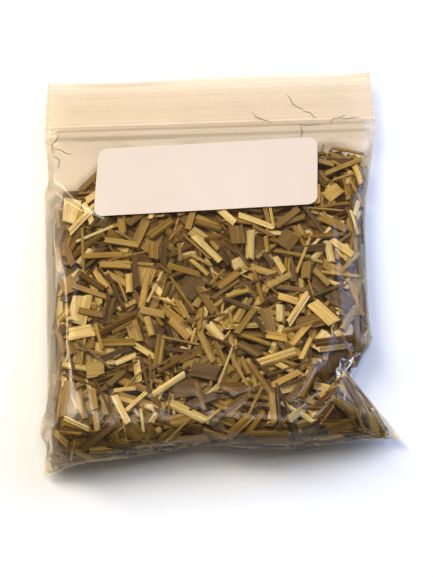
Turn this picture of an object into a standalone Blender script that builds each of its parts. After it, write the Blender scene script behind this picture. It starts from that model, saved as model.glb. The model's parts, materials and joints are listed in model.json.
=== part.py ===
"""A clear press-to-close bag filled with cut, dried lemongrass, lying on its back.

Metres, +Z up. The origin is under the middle of the bag, on the surface it lies on.
X runs across the bag, +Y runs towards the mouth, and the labelled face looks up.
"""

import math
import random

import bmesh
import bpy
from mathutils import Vector

# Driving dimensions
BAG_WIDTH = 0.1016  # across the side welds
BAG_LENGTH = 0.1285  # bottom fold to the top of the lip, filled and lying down
LIP_LENGTH = 0.0193  # top of the lip down to the middle of the zip
PACK_HEIGHT = 0.0180  # highest point of the filled pouch
FILM = 0.0001  # 4 mil polyethylene
GAP = 0.0003  # between pieces that touch
SEAM_HEIGHT = 0.0050  # height of the welds, the zip and the lip above the table

SIDE_DRAW = 0.0032  # how far filling pulls each weld in
PINCH_DEPTH = 0.0045  # a crease that nips the right weld in near the bottom
PINCH_Y = -0.0370
PINCH_LENGTH = 0.0080
BOTTOM_BOW = 0.0030  # the bottom fold bows in between its corners
BOTTOM_RISE = 0.0120  # the steep lower wall of the pouch
SHOULDER_LENGTH = 0.0850  # the long slope from the zip up to the full height
BACK_FLATNESS = 1.9  # how quickly the back film comes down onto the table
TOUCHES_TABLE = 0.00008  # the back film lies flat where it would be lower than this

ZIP_RIDGE = 0.0011  # how far the zip lifts each film
ZIP_RIDGE_HALF = 0.0019
ZIP_RIDGE_FOOT = 0.0035
ZIP_END_INSET = 0.0033

LABEL_WIDTH = 0.0667
LABEL_HEIGHT = 0.0254
LABEL_CORNER = 0.0030
LABEL_PAPER = 0.0001
LABEL_X = -0.0003
LABEL_BELOW_ZIP = 0.0058  # zip to the label's upper edge
LABEL_TURN = math.radians(1.9)

LAYER_DEPTH = 0.0030  # room for the top layer of cut pieces, under the front film
FILL_INSET = 0.91  # the mass of cut pieces as a share of the half width
FILL_FROM_BOTTOM = 0.0065
FILL_OVER_BACK = 0.0009
FILL_BELOW_ZIP = 0.0120

PIECE_SPACING = 0.0004
PIECE_TRIES = 900
SEED = 41

BOTTOM_Y = -BAG_LENGTH / 2
TOP_Y = BAG_LENGTH / 2
ZIP_Y = TOP_Y - LIP_LENGTH
LABEL_Y = ZIP_Y - LABEL_BELOW_ZIP - LABEL_HEIGHT / 2


def clear_scene():
    for thing in list(bpy.data.objects):
        bpy.data.objects.remove(thing, do_unlink=True)


def make_material(name, colour, roughness, alpha=1.0):
    material = bpy.data.materials.new(name)
    material.use_nodes = True
    shader = material.node_tree.nodes["Principled BSDF"]
    shader.inputs["Base Color"].default_value = (*colour, 1.0)
    shader.inputs["Roughness"].default_value = roughness
    shader.inputs["Metallic"].default_value = 0.0
    shader.inputs["Alpha"].default_value = alpha
    material.diffuse_color = (*colour, alpha)
    return material


def place_mesh(name, mesh, material, sharp_angle=math.radians(35)):
    """Links a finished mesh as a named object, shaded smooth but for its sharp edges."""
    mesh.materials.append(material)
    mesh.shade_smooth()
    mesh.set_sharp_from_angle(angle=sharp_angle)
    piece = bpy.data.objects.new(name, mesh)
    bpy.context.scene.collection.objects.link(piece)
    return piece


# The filled pouch's shape


def smooth_step(value):
    value = min(1.0, max(0.0, value))
    return value * value * (3 - 2 * value)


def half_width(y, side):
    """Half the bag's width at y. The right side also has the crease that nips it in."""
    along = (y - BOTTOM_Y) / (ZIP_Y - BOTTOM_Y)
    draw = 0.0
    if 0 < along < 1:
        draw = SIDE_DRAW * math.sin(math.pi * along)
    if side > 0:
        draw += PINCH_DEPTH * math.exp(-(((y - PINCH_Y) / PINCH_LENGTH) ** 2))
    return BAG_WIDTH / 2 - draw


def fullness(x, y):
    """0 at the welds, the bottom fold and the zip, and 1 where the pouch is full."""
    across = min(1.0, abs(x) / half_width(y, x))
    bow = BOTTOM_BOW * (1 - across**2)
    from_bottom = max(0.0, y - BOTTOM_Y - bow)
    below_zip = max(0.0, ZIP_Y - y)
    side = (1 - across**3.5) ** 0.55
    rise = (1 - max(0.0, 1 - from_bottom / BOTTOM_RISE) ** 2.5) ** 0.5
    shoulder = math.sin(math.pi / 2 * min(1.0, below_zip / SHOULDER_LENGTH))
    return side * rise * shoulder


def zip_ridge(x, y):
    """The low ridge that the zip tracks raise, fading out at the welds."""
    off = abs(y - ZIP_Y)
    ridge = 1 - smooth_step((off - ZIP_RIDGE_HALF) / (ZIP_RIDGE_FOOT - ZIP_RIDGE_HALF))
    to_weld = BAG_WIDTH / 2 - abs(x)
    return ZIP_RIDGE * ridge * smooth_step(to_weld / (0.8 * ZIP_END_INSET))


def front_height(x, y):
    """Outer face of the front film."""
    rim = SEAM_HEIGHT + GAP / 2 + FILM
    return rim + (PACK_HEIGHT - rim) * fullness(x, y) + zip_ridge(x, y)


def back_height(x, y):
    """Outer face of the back film, flat on the table under the fill."""
    rim = SEAM_HEIGHT - GAP / 2 - FILM
    lowered = rim * (1 - smooth_step(BACK_FLATNESS * fullness(x, y)))
    lowered -= zip_ridge(x, y)
    return lowered if lowered > TOUCHES_TABLE else 0.0


# The film panels


def film_rows():
    """Distances along the bag at which the film has a row of vertices."""
    rows = [BOTTOM_Y + BOTTOM_RISE * share for share in (0, 0.06, 0.16, 0.32, 0.55, 1.0)]
    body_end = ZIP_Y - 0.0085
    steps = 9
    for step in range(1, steps + 1):
        rows.append(rows[5] + (body_end - rows[5]) * step / steps)
    for off in (-0.0055, -ZIP_RIDGE_FOOT, -ZIP_RIDGE_HALF, ZIP_RIDGE_HALF, ZIP_RIDGE_FOOT):
        rows.append(ZIP_Y + off)
    rows += [ZIP_Y + 0.0095, TOP_Y]
    return rows


def film_columns():
    """Shares of the half width, closer together towards the welds."""
    steps = 22
    return [math.sin(math.pi / 2 * (2 * step / steps - 1)) for step in range(steps + 1)]


def plan_point(share, row_y):
    """Where a film vertex lies in plan: rows bow in at the bottom, less so upwards."""
    x = share * half_width(row_y, share)
    fade = max(0.0, 1 - (row_y - BOTTOM_Y) / (ZIP_Y - 2 * ZIP_RIDGE_FOOT - BOTTOM_Y))
    return x, row_y + BOTTOM_BOW * (1 - share**2) * fade


def build_film(name, height, material, faces_up):
    """One film: its outer face as a grid, given its thickness inwards by Solidify."""
    rows, columns = film_rows(), film_columns()
    shape = bmesh.new()
    grid = []
    for row_y in rows:
        line = []
        for share in columns:
            x, y = plan_point(share, row_y)
            line.append(shape.verts.new((x, y, height(x, y))))
        grid.append(line)
    for lower, upper in zip(grid, grid[1:]):
        for left in range(len(columns) - 1):
            corners = [lower[left], lower[left + 1], upper[left + 1], upper[left]]
            shape.faces.new(corners if faces_up else corners[::-1])
    mesh = bpy.data.meshes.new(name)
    shape.to_mesh(mesh)
    shape.free()
    panel = place_mesh(name, mesh, material)
    wall = panel.modifiers.new("film thickness", "SOLIDIFY")
    wall.thickness = FILM
    wall.offset = -1.0
    return panel


# The zip


def extrude_profile(name, outline, half_length, material):
    """A closed YZ outline, counter-clockwise seen from +X, extruded along X."""
    shape = bmesh.new()
    corners = []
    for y, z in outline:
        corners.append(shape.verts.new((-half_length, ZIP_Y + y, SEAM_HEIGHT + z)))
    start = shape.faces.new(corners)
    run = bmesh.ops.extrude_face_region(shape, geom=[start])
    moved = [item for item in run["geom"] if isinstance(item, bmesh.types.BMVert)]
    bmesh.ops.translate(shape, verts=moved, vec=(2 * half_length, 0, 0))
    bmesh.ops.recalc_face_normals(shape, faces=shape.faces)
    bmesh.ops.triangulate(shape, faces=shape.faces)
    mesh = bpy.data.meshes.new(name)
    shape.to_mesh(mesh)
    shape.free()
    return place_mesh(name, mesh, material)


def mirrored(half_outline):
    """Adds the -Y half to an outline given for +Y, from the bottom of the middle up."""
    return half_outline + [(-y, z) for y, z in reversed(half_outline) if y > 0]


def build_zip(material):
    """The rib snaps into the groove: an arrow head held behind two hooks."""
    half_length = BAG_WIDTH / 2 - ZIP_END_INSET
    base, base_top = 0.0016, 0.00095
    base_under = base_top - 0.0002
    leg_out, leg_in, hook_tip = 0.00115, 0.0008, 0.0004
    hook_under, hook_top = -0.00035, -0.00005
    groove = [
        (base, base_top),
        (-base, base_top),
        (-base, base_under),
        (-leg_out, base_under),
        (-leg_out, hook_under),
        (-hook_tip, hook_under),
        (-hook_tip, hook_top),
        (-leg_in, hook_top),
        (-leg_in, base_under),
        (leg_in, base_under),
        (leg_in, hook_top),
        (hook_tip, hook_top),
        (hook_tip, hook_under),
        (leg_out, hook_under),
        (leg_out, base_under),
        (base, base_under),
    ]
    extrude_profile("zip_groove_track", groove, half_length, material)
    stem, head, tip = 0.00022, 0.00062, 0.0002
    head_under, head_top = 0.0001, 0.00055
    rib = mirrored(
        [
            (base, -base_top),
            (base, -base_under),
            (stem, -base_under),
            (stem, head_under),
            (head, head_under),
            (tip, head_top),
        ]
    )
    extrude_profile("zip_rib_track", rib, half_length, material)


# Slabs that follow the film: the label and the mass of cut pieces


def build_slab(name, lower_grid, upper_grid, material):
    """A closed solid between two grids of points that have the same plan."""
    shape = bmesh.new()
    low = [[shape.verts.new(point) for point in line] for line in lower_grid]
    high = [[shape.verts.new(point) for point in line] for line in upper_grid]
    rows, columns = len(low), len(low[0])
    for row in range(rows - 1):
        for left in range(columns - 1):
            for grid in (low, high):
                shape.faces.new(
                    (
                        grid[row][left],
                        grid[row][left + 1],
                        grid[row + 1][left + 1],
                        grid[row + 1][left],
                    )
                )
    rim = [(0, column) for column in range(columns)]
    rim += [(row, columns - 1) for row in range(1, rows)]
    rim += [(rows - 1, column) for column in range(columns - 2, -1, -1)]
    rim += [(row, 0) for row in range(rows - 2, 0, -1)]
    for here, there in zip(rim, rim[1:] + rim[:1]):
        shape.faces.new(
            (
                low[here[0]][here[1]],
                low[there[0]][there[1]],
                high[there[0]][there[1]],
                high[here[0]][here[1]],
            )
        )
    bmesh.ops.recalc_face_normals(shape, faces=shape.faces)
    mesh = bpy.data.meshes.new(name)
    shape.to_mesh(mesh)
    shape.free()
    return place_mesh(name, mesh, material)


def label_rows():
    """Heights in the label at which it has a row: the corner arcs, then the middle."""
    half = LABEL_HEIGHT / 2
    arc = [half - LABEL_CORNER * (1 - math.cos(math.radians(a))) for a in (0, 30, 60, 90)]
    upper = arc + [half / 3]
    return [-y for y in upper] + upper[::-1]


def build_label(material):
    """A blank paper label with rounded corners, stuck on the front film."""
    lower, upper = [], []
    steps = 14
    for v in label_rows():
        into_corner = max(0.0, abs(v) - (LABEL_HEIGHT / 2 - LABEL_CORNER))
        arc = math.sqrt(max(0.0, LABEL_CORNER**2 - into_corner**2))
        reach = LABEL_WIDTH / 2 - LABEL_CORNER + arc
        low_line, high_line = [], []
        for step in range(steps + 1):
            u = reach * (2 * step / steps - 1)
            x = LABEL_X + u * math.cos(LABEL_TURN) - v * math.sin(LABEL_TURN)
            y = LABEL_Y + u * math.sin(LABEL_TURN) + v * math.cos(LABEL_TURN)
            z = front_height(x, y) + GAP
            low_line.append((x, y, z))
            high_line.append((x, y, z + LABEL_PAPER))
        lower.append(low_line)
        upper.append(high_line)
    return build_slab("label", lower, upper, material)


def build_fill(material):
    """The bulk of the cut pieces, as one mass under the top layer."""
    first = BOTTOM_Y + FILL_FROM_BOTTOM
    last = ZIP_Y - FILL_BELOW_ZIP
    rows, columns = 13, 13
    lower, upper = [], []
    for row in range(rows):
        row_y = first + (last - first) * row / (rows - 1)
        low_line, high_line = [], []
        for column in range(columns):
            share = FILL_INSET * math.sin(math.pi / 2 * (2 * column / (columns - 1) - 1))
            x, y = plan_point(share, row_y)
            low_line.append((x, y, back_height(x, y) + FILL_OVER_BACK))
            high_line.append((x, y, front_height(x, y) - LAYER_DEPTH))
        lower.append(low_line)
        upper.append(high_line)
    return build_slab("cut_lemongrass_mass", lower, upper, material)


# The cut pieces of the top layer, each with its cross-section from left to right


def band_section(middle_line, thickness):
    """A thin band's cross-section: a middle line thickened straight up and down."""
    over = [(b, c + thickness / 2) for b, c in middle_line]
    under = [(b, c - thickness / 2) for b, c in reversed(middle_line)]
    return under + over


def sheath_section(draw):
    """A flat length of leaf sheath, slightly arched across."""
    width, arch = draw.uniform(0.0034, 0.0062), draw.uniform(0.0003, 0.0007)
    line = []
    for step in range(5):
        share = step / 2 - 1
        line.append((share * width / 2, arch * (1 - share**2)))
    return band_section(line, draw.uniform(0.00035, 0.0005))


def split_stem_section(draw):
    """Half of a stem of nested sheaths, round side up and slightly dished below."""
    radius = draw.uniform(0.0010, 0.0013)
    outer = []
    for step in range(5):
        angle = math.pi * (1 - step / 4)
        outer.append((radius * math.cos(angle), radius * math.sin(angle)))
    return [(0.0, 0.2 * radius)] + outer


def leaf_fold_section(draw):
    """A leaf blade creased along its midrib."""
    wing, lift = draw.uniform(0.0009, 0.0017), draw.uniform(0.0006, 0.0011)
    line = [(-wing, 0.0), (-wing / 2, lift * 0.55), (0.0, lift), (wing, lift * 0.1)]
    return band_section(line, draw.uniform(0.0003, 0.0004))


def sliver_section(draw):
    """A narrow solid splinter of stalk, five-sided."""
    width, depth = draw.uniform(0.0007, 0.0013), draw.uniform(0.0006, 0.0009)
    return [
        (-width / 2, 0.0),
        (width / 2, depth * 0.1),
        (width * 0.42, depth * 0.8),
        (0.0, depth),
        (-width * 0.4, depth * 0.75),
    ]


PIECE_KINDS = (
    ("sheath_plate", sheath_section, 12, (0.0065, 0.0105)),
    ("split_stem", split_stem_section, 11, (0.0080, 0.0140)),
    ("leaf_fold", leaf_fold_section, 12, (0.0080, 0.0150)),
    ("stalk_sliver", sliver_section, 13, (0.0090, 0.0160)),
)


def rectangle_corners(centre, angle, length, width):
    along = Vector((math.cos(angle), math.sin(angle))) * (length / 2)
    across = Vector((-math.sin(angle), math.cos(angle))) * (width / 2)
    return [
        centre + along + across,
        centre - along + across,
        centre - along - across,
        centre + along - across,
    ]


def rectangles_meet(first, second):
    """Separating axis test on two rectangles, each a list of four corners."""
    for shape in (first, second):
        for corner in (0, 1):
            axis = shape[corner] - shape[corner + 1]
            spans = []
            for other in (first, second):
                reach = [axis.dot(point) for point in other]
                spans.append((min(reach), max(reach)))
            if spans[0][1] < spans[1][0] or spans[1][1] < spans[0][0]:
                return False
    return True


def find_place(draw, length, width, taken):
    """A free spot for a rectangle on the open, nearly flat part of the front."""
    for _ in range(PIECE_TRIES):
        y = draw.uniform(BOTTOM_Y + 0.014, ZIP_Y - 0.020)
        x = draw.uniform(-0.74, 0.74) * half_width(y, 1)
        angle = draw.uniform(0, math.pi)
        corners = rectangle_corners(
            Vector((x, y)), angle, length + PIECE_SPACING, width + PIECE_SPACING
        )
        if not any(rectangles_meet(corners, other) for other in taken):
            taken.append(corners)
            return x, y, angle
    raise RuntimeError("no room for another cut piece")


def build_cut_piece(name, section, length, place, draw, material):
    """Sweeps the section along the piece, draped just under the front film."""
    x0, y0, angle = place
    width = max(b for b, _ in section) - min(b for b, _ in section)
    top = max(c for _, c in section)
    taper = draw.uniform(0.75, 1.0)
    slants = (draw.uniform(-0.5, 0.5), draw.uniform(-0.5, 0.5))
    stations = 4
    shape = bmesh.new()
    rings = []
    for station in range(stations):
        share = station / (stations - 1)
        narrow = 1 + (taper - 1) * share
        slant = slants[0] * (1 - share) + slants[1] * share
        ring = []
        for b, c in section:
            room = length / 2 - abs(slant) * width / 2
            a = (2 * share - 1) * room + slant * b
            x = x0 + a * math.cos(angle) - b * narrow * math.sin(angle)
            y = y0 + a * math.sin(angle) + b * narrow * math.cos(angle)
            under_film = front_height(x, y) - FILM - 1.6 * GAP
            ring.append(shape.verts.new((x, y, under_film - top + c)))
        rings.append(ring)
    count = len(section)
    for near, far in zip(rings, rings[1:]):
        for side in range(count):
            after = (side + 1) % count
            shape.faces.new((near[side], near[after], far[after], far[side]))
    shape.faces.new(rings[0])
    shape.faces.new(rings[-1])
    bmesh.ops.triangulate(shape, faces=shape.faces)
    bmesh.ops.recalc_face_normals(shape, faces=shape.faces)
    mesh = bpy.data.meshes.new(name)
    shape.to_mesh(mesh)
    shape.free()
    return place_mesh(name, mesh, material)


def build_cut_pieces(materials):
    draw = random.Random(SEED)
    taken = []
    for kind, make_section, count, (shortest, longest) in PIECE_KINDS:
        for number in range(1, count + 1):
            section = make_section(draw)
            length = draw.uniform(shortest, longest)
            width = max(b for b, _ in section) - min(b for b, _ in section)
            place = find_place(draw, length, width, taken)
            name = f"{kind}_{number:02d}"
            build_cut_piece(name, section, length, place, draw, materials[kind])


def build_bag():
    film = make_material("clear film", (0.90, 0.86, 0.76), 0.12, alpha=0.3)
    tracks = make_material("zip polyethylene", (0.88, 0.82, 0.70), 0.3, alpha=0.5)
    paper = make_material("label paper", (0.90, 0.80, 0.72), 0.55)
    mass = make_material("cut lemongrass", (0.20, 0.12, 0.04), 0.85)
    pieces = {
        "sheath_plate": make_material("sheath straw", (0.46, 0.33, 0.14), 0.6),
        "split_stem": make_material("stem straw", (0.38, 0.26, 0.10), 0.6),
        "leaf_fold": make_material("leaf khaki", (0.24, 0.17, 0.06), 0.65),
        "stalk_sliver": make_material("sliver tan", (0.32, 0.21, 0.08), 0.65),
    }
    build_film("front_panel", front_height, film, faces_up=True)
    build_film("back_panel", back_height, film, faces_up=False)
    build_zip(tracks)
    build_label(paper)
    build_fill(mass)
    build_cut_pieces(pieces)


clear_scene()
build_bag()
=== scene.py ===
import json
import math

import bmesh
import bpy
import numpy as np
from mathutils import Matrix, Vector
from mathutils.bvhtree import BVHTree

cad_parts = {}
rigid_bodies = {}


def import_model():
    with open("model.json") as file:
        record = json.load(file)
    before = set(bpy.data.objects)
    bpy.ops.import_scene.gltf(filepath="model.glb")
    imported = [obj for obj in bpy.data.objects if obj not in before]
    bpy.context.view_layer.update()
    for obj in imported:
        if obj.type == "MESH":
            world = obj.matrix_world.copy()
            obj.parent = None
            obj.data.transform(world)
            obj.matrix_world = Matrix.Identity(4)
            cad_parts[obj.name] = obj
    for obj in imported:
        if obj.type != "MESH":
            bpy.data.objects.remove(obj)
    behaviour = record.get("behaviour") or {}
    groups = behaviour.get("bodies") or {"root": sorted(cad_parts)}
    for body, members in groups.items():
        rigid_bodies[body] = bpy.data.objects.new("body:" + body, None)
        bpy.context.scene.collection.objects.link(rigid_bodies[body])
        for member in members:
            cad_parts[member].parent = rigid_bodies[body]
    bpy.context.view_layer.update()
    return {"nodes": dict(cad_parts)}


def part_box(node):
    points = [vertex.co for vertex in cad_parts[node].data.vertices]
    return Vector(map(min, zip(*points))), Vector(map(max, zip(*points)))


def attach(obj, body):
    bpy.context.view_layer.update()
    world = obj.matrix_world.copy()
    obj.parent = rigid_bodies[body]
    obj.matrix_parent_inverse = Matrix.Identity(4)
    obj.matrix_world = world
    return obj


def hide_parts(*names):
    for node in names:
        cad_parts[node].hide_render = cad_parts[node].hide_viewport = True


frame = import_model()


# Where the camera and the lights stand
# The filled bag lies on its back, so the camera looks steeply down on it from the
# bottom edge. A warm lamp shines from the upper left and a cool window from the right.

film_low, film_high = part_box("front_panel")
bag_centre = Vector(((film_low[0] + film_high[0]) / 2, 0.0, 0.0))

camera_height_angle = math.radians(64.5)
camera_distance = 0.56
camera_roll = math.radians(-1.8)
lens_mm = 158.0
aim_point = bag_centre + Vector((0.0004, -0.0093, 0.006))
camera_data = bpy.data.cameras.new("camera")
camera_data.sensor_fit = "HORIZONTAL"
camera_data.sensor_width = 36.0
camera_data.lens = lens_mm
camera = bpy.data.objects.new("camera", camera_data)
bpy.context.scene.collection.objects.link(camera)
camera_back = Vector((0.0, -math.cos(camera_height_angle), math.sin(camera_height_angle)))
camera.location = aim_point + camera_distance * camera_back
camera.rotation_euler = (-camera_back).to_track_quat("-Z", "Y").to_euler()
camera.rotation_euler.rotate_axis("Z", camera_roll)
bpy.context.scene.camera = camera
bpy.context.scene.view_settings.view_transform = "Standard"


def add_soft_lamp(name, place, width, height, power, colour):
    """A soft box that faces the bag, its size in metres and its power in watts."""
    lamp_data = bpy.data.lights.new(name, "AREA")
    lamp_data.shape = "RECTANGLE"
    lamp_data.size = width
    lamp_data.size_y = height
    lamp_data.energy = power
    lamp_data.color = colour
    lamp = bpy.data.objects.new(name, lamp_data)
    lamp.location = place
    lamp.rotation_euler = (Vector(place) - bag_centre).to_track_quat("Z", "Y").to_euler()
    bpy.context.scene.collection.objects.link(lamp)


add_soft_lamp("warm key", (-0.42, 0.34, 0.70), 0.20, 0.72, 7.0, (1.0, 0.90, 0.72))
add_soft_lamp("cool window", (0.56, 0.32, 0.40), 0.62, 0.62, 5.2, (0.40, 0.56, 1.0))
add_soft_lamp("top fill", (0.12, 0.02, 1.10), 0.50, 0.50, 3.2, (1.0, 0.94, 0.86))

studio = bpy.data.worlds.new("studio")
studio.use_nodes = True
studio.node_tree.nodes["Background"].inputs["Color"].default_value = (1.0, 0.93, 0.84, 1.0)
studio.node_tree.nodes["Background"].inputs["Strength"].default_value = 0.16
bpy.context.scene.world = studio


def new_material(name):
    """A node material holding only a Principled shader, and its tree's parts."""
    material = bpy.data.materials.new(name)
    material.use_nodes = True
    nodes = material.node_tree.nodes
    return material, nodes, material.node_tree.links, nodes["Principled BSDF"]


def new_mesh_object(name, points, faces):
    """A smooth-shaded mesh object at the origin."""
    mesh = bpy.data.meshes.new(name)
    mesh.from_pydata(points, [], faces)
    mesh.shade_smooth()
    made = bpy.data.objects.new(name, mesh)
    bpy.context.scene.collection.objects.link(made)
    return made


floor_half = 1.5
floor_z = -0.0002
floor_corners = ((-1, -1), (1, -1), (1, 1), (-1, 1))
floor = new_mesh_object(
    "floor", [(x * floor_half, y * floor_half, floor_z) for x, y in floor_corners], [(0, 1, 2, 3)]
)
paper_white, _, _, shader = new_material("white paper sweep")
shader.inputs["Base Color"].default_value = (0.93, 0.96, 1.0, 1.0)
shader.inputs["Roughness"].default_value = 0.9
floor.data.materials.append(paper_white)


# The film, a folded polyethylene sheet
# One sheet 0.1 mm thick, folded at the bottom and welded down both sides. The flat
# sheet is blown up by the filling: every fibre keeps its length, so the welds draw in.

film_width = film_high[0] - film_low[0]
bag_top = film_high[1]
bag_bottom = film_low[1]
zip_low, zip_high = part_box("zip_groove_track")
zip_y = (zip_low[1] + zip_high[1]) / 2
rib_low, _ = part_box("zip_rib_track")
seam_height = (rib_low[2] + zip_high[2]) / 2
lip_length = bag_top - zip_y
pouch_flat = 0.1128  # zip to fold along the film
crease_room = 0.0003  # left for the creases, under the top of the bag
pack_height = film_high[2] - crease_room
shoulder_length = 0.090  # the fill rises to its full height this far below the zip
shoulder_curve = 0.86
start_height = 0.0006  # of the fill at the zip, above the seam
nip_y = -0.037  # a crease nips the right weld in here
nip_depth = 0.0086
nip_length = 0.0058
across = 72  # cells of the film, weld to weld and zip to fold, before the last refining
down = 82
step_u = film_width / across
step_v = pouch_flat / down


def ramp(value, low, high):
    """0 below low, 1 above high, and smooth in between."""
    share = np.clip((value - low) / (high - low), 0, 1)
    return share * share * (3 - 2 * share)


def hump(value, middle, reach):
    """1 at the middle, dying out smoothly about twice the reach away on both sides."""
    return np.exp(-(((value - middle) / reach) ** 2))


def fill_height(below_zip):
    """The height to which the cut pieces hold the front film, a given way below the zip."""
    share = np.clip(below_zip / shoulder_length, 0, 1) ** shoulder_curve
    return seam_height + start_height + (pack_height - seam_height - start_height) * share


def refine(grid):
    """Doubles a grid of points in both directions, along smooth curves."""
    for axis in (0, 1):
        grid = np.moveaxis(grid, axis, 0)
        before = np.concatenate([2 * grid[:1] - grid[1:2], grid, 2 * grid[-1:] - grid[-2:-1]])
        middle = (9 * (grid[:-1] + grid[1:]) - before[:-3] - before[3:]) / 16
        finer = np.empty((2 * len(grid) - 1, *grid.shape[1:]))
        finer[0::2] = grid
        finer[1::2] = middle
        grid = np.moveaxis(finer, 0, axis)
    return grid


speed_kept = 0.93  # by the film, from one round to the next
slant_stiffness = 0.35
bend_stiffness = 0.10
corrections = 6  # of the lengths in every round
table_gap = 0.00005


def relax_film(film, rounds, rising_rounds, push):
    """Blows the folded sheet up against the table and the heap's top, keeping its lengths.

    film's rows run from the zip down the front to the fold and up the back to the zip.
    """
    rows, columns = film.shape[:2]
    fold = rows // 2
    along = pouch_flat / fold
    wide = film_width / (columns - 1)
    free = np.ones((rows, columns, 1))
    free[0] = free[-1] = 0
    lengths = []  # sets of pairs of neighbours, no point being in two pairs of a set
    for first in (0, 1):
        near = np.arange(first, columns - 1, 2)
        lengths.append(((slice(None), near), (slice(None), near + 1), wide, 1.0))
        near = np.arange(first, rows - 1, 2)
        lengths.append(((near, slice(None)), (near + 1, slice(None)), along, 1.0))
        left, right = slice(0, columns - 1), slice(1, columns)
        slant = math.hypot(wide, along)
        lengths.append(((near, left), (near + 1, right), slant, slant_stiffness))
        lengths.append(((near, right), (near + 1, left), slant, slant_stiffness))
    for first in range(4):
        near = np.arange(first, columns - 2, 4)
        lengths.append(((slice(None), near), (slice(None), near + 2), 2 * wide, bend_stiffness))
        near = np.arange(first, rows - 2, 4)
        lengths.append(((near, slice(None)), (near + 2, slice(None)), 2 * along, bend_stiffness))
    now, before = film.copy(), film.copy()
    for round_number in range(rounds):
        facing = np.cross(np.gradient(now, axis=0), np.gradient(now, axis=1))
        facing /= wide * along
        strength = push * min(1.0, (round_number + 1) / rising_rounds)
        moved = now + free * (speed_kept * (now - before) + strength * facing)
        before, now = now, moved
        for _ in range(corrections):
            for one, other, length, stiffness in lengths:
                gap = now[other] - now[one]
                size = np.linalg.norm(gap, axis=-1, keepdims=True) + 1e-12
                share = stiffness * (size - length) / size / (free[one] + free[other] + 1e-9)
                now[one] += free[one] * share * gap
                now[other] -= free[other] * share * gap
            for edge in (0, -1):
                weld = (now[: fold + 1, edge] + now[fold:, edge][::-1]) / 2
                now[: fold + 1, edge] = weld
                now[fold:, edge] = weld[::-1]
            top = fill_height(zip_y - now[1:-1, :, 1])
            now[1:-1, :, 2] = np.clip(now[1:-1, :, 2], table_gap, top)
            now[:, :, 1] = np.maximum(now[:, :, 1], bag_bottom)
            nip = nip_depth * hump(now[:, :, 1], nip_y, nip_length)
            now[:, :, 0] = np.minimum(now[:, :, 0], film_width / 2 - nip)
    return now


# The sheet starts folded and flat, a little puffed up and uneven, and is relaxed twice.
first_puff = 0.003
first_unevenness = 0.00015
quarter_turn = np.pi / 2
draw = np.random.default_rng(5)
coarse_rows, coarse_columns = down + 1, across // 2 + 1
from_zip = np.abs(np.abs(np.linspace(-1, 1, coarse_rows)) - 1)
from_weld = np.sin(np.linspace(0, np.pi, coarse_columns)) ** 0.5
opens_at_zip = np.sin(quarter_turn * np.minimum(1, from_zip * 6))
closes_at_fold = np.sin(quarter_turn * np.minimum(1, (1 - from_zip) * 8))
puff = opens_at_zip * closes_at_fold
side_sign = np.where(np.arange(coarse_rows) <= coarse_rows // 2, 1.0, -1.0)
flat_film = np.zeros((coarse_rows, coarse_columns, 3))
flat_film[:, :, 0] = np.linspace(-film_width / 2, film_width / 2, coarse_columns)
flat_film[:, :, 1] = (zip_y - from_zip * (zip_y - bag_bottom))[:, None]
bulge = (first_puff * side_sign * puff)[:, None] * from_weld
unevenness = draw.normal(0, first_unevenness, bulge.shape) * puff[:, None] * from_weld
flat_film[:, :, 2] = seam_height + bulge + unevenness
film = relax_film(flat_film, rounds=420, rising_rounds=150, push=9e-6)
film = relax_film(refine(film), rounds=160, rising_rounds=1, push=4.5e-6)

# The heap has settled towards the left weld. The fold line is tucked in near its middle and
# swells at its left, and both bottom corners droop to the table.
slump, slump_length = 0.0022, 0.035
fold_reach = 0.022  # along the film, where the fold line's own shape begins
tuck, tuck_x = 0.0024, -0.004
swell, swell_x = 0.0014, -0.036
wave_reach = 0.012
left_swell = 0.0024
right_corner_out = 0.0010
corner_droop, corner_width, corner_length = 0.6, 0.014, 0.020
film_row, film_column = np.mgrid[: film.shape[0], : film.shape[1]]
to_fold = np.abs(film_row - down) * step_v
from_middle = np.abs(film_column - across / 2) * step_u
below_zip = ramp(zip_y - film[:, :, 1], 0.0, slump_length)
film[:, :, 0] -= slump * below_zip * ramp(to_fold, 0.0, fold_reach)
at_fold = 1 - ramp(to_fold, 0.0, fold_reach)
tucked_in = tuck * hump(film[:, :, 0], tuck_x, wave_reach)
swollen_out = swell * hump(film[:, :, 0], swell_x, wave_reach)
film[:, :, 1] += (tucked_in - swollen_out) * at_fold
beside_corner = hump(to_fold, 0.011, 0.007) - 0.5 * hump(to_fold, 0.0, 0.004)
film[:, :, 0] -= left_swell * beside_corner * ramp(-film[:, :, 0], 0.024, 0.046)
film[:, :, 0] += right_corner_out * at_fold * ramp(film[:, :, 0], 0.030, 0.048)
at_corner = ramp(from_middle, film_width / 2 - corner_width, film_width / 2)
film[:, :, 2] *= 1 - corner_droop * at_corner * (1 - ramp(to_fold, 0.0, corner_length))
film = refine(film)
fold_row = film.shape[0] // 2

# The two films open out above the zip into the lip. Its ribs and the zip's own ridge
# are extruded along the whole width.
column_u = np.linspace(-film_width / 2, film_width / 2, film.shape[1])
lip_step = 0.00035
lip_v = np.arange(-lip_length, -lip_step / 2, lip_step)
pouch_v = np.linspace(0, pouch_flat, fold_row + 1)
row_v = np.concatenate([lip_v, pouch_v])
lip_gap = 0.0002
lip_taper = 0.012
lip_wave, lip_sag, lip_spread = 0.0007, 0.0006, 0.0005
lip_curl = 0.0014  # of the right corner, upwards
zip_lift = 0.00125
zip_edges, zip_edge_height, zip_edge_reach = (-0.0016, 0.0016), 0.00022, 0.00030
grip_ribs, rib_height, rib_reach = (-0.0154, -0.0108, -0.0079), 0.00016, 0.00032


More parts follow.
